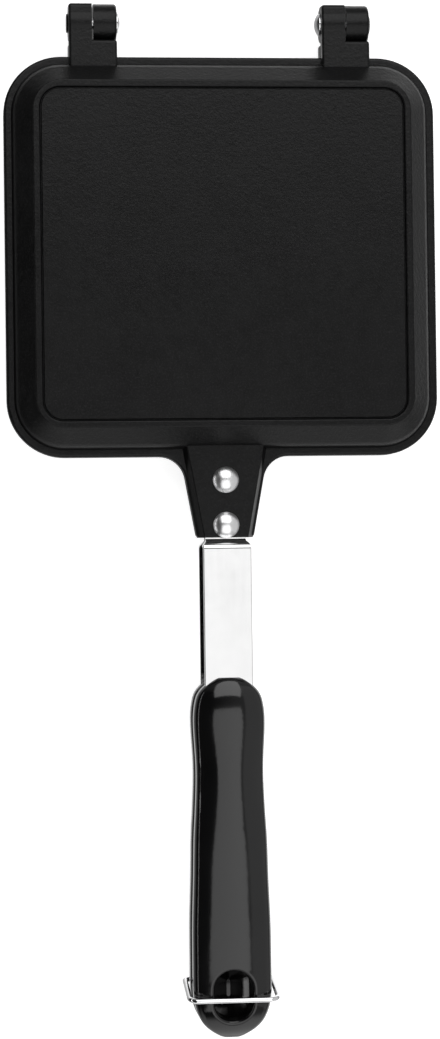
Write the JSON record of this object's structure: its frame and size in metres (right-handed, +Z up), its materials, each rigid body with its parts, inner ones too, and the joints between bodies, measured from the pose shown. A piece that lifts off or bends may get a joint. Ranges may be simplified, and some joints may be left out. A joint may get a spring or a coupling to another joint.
{
  "type": "double waffle pan",
  "caption": "Stove-top waffle pan: two coated plates hinged at the far end, each riveted to a steel strap with a glossy black grip, held shut by a wire bail over the grips.",
  "frame": {"origin": "centre of the bounding box in plan, at the floor under the lower pan's lip ring", "axes": "+Y from the grips' ends toward the hinges (longest extent), +Z up (shortest extent), +X to the right across the plates"},
  "size_m": [0.158, 0.3768, 0.031],
  "materials": {
    "upper_pan_coating": "die-cast aluminium under a matt near-black non-stick coating",
    "lower_pan_coating": "die-cast aluminium under a matt near-black non-stick coating",
    "hinge_pin_steel": "bright domed head",
    "strap_steel": "polished stainless steel",
    "rivet_metal": "bright satin",
    "grip_phenolic": "high-gloss black phenolic",
    "screw_steel": "zinc plated",
    "bail_wire": "bright drawn steel wire"
  },
  "bodies": {
    "lower": {"lower_pan": "lower_pan_coating", "left_hinge_pin": "hinge_pin_steel", "right_hinge_pin": "hinge_pin_steel", "lower_strap": "strap_steel", "lower_rivet_front": "rivet_metal", "lower_rivet_rear": "rivet_metal", "lower_grip": "grip_phenolic", "lower_grip_screw_front": "screw_steel", "lower_grip_screw_rear": "screw_steel"},
    "upper": {"upper_pan": "upper_pan_coating", "upper_strap": "strap_steel", "upper_rivet_front": "rivet_metal", "upper_rivet_rear": "rivet_metal", "upper_grip": "grip_phenolic", "upper_grip_screw_front": "screw_steel", "upper_grip_screw_rear": "screw_steel"},
    "bail": {"latch_bail": "bail_wire"}
  },
  "joints": [
    {"name": "pan_hinge", "type": "hinge", "parent": "lower", "child": "upper", "pos_m": [0, 0.18145, 0.0146], "axis": [-1, 0, 0], "range_deg": [0, 180]},
    {"name": "bail_swing", "type": "hinge", "parent": "lower", "child": "bail", "pos_m": [0, -0.16865, 0.0067], "axis": [1, 0, 0], "range_deg": [0, 230]}
  ]
}
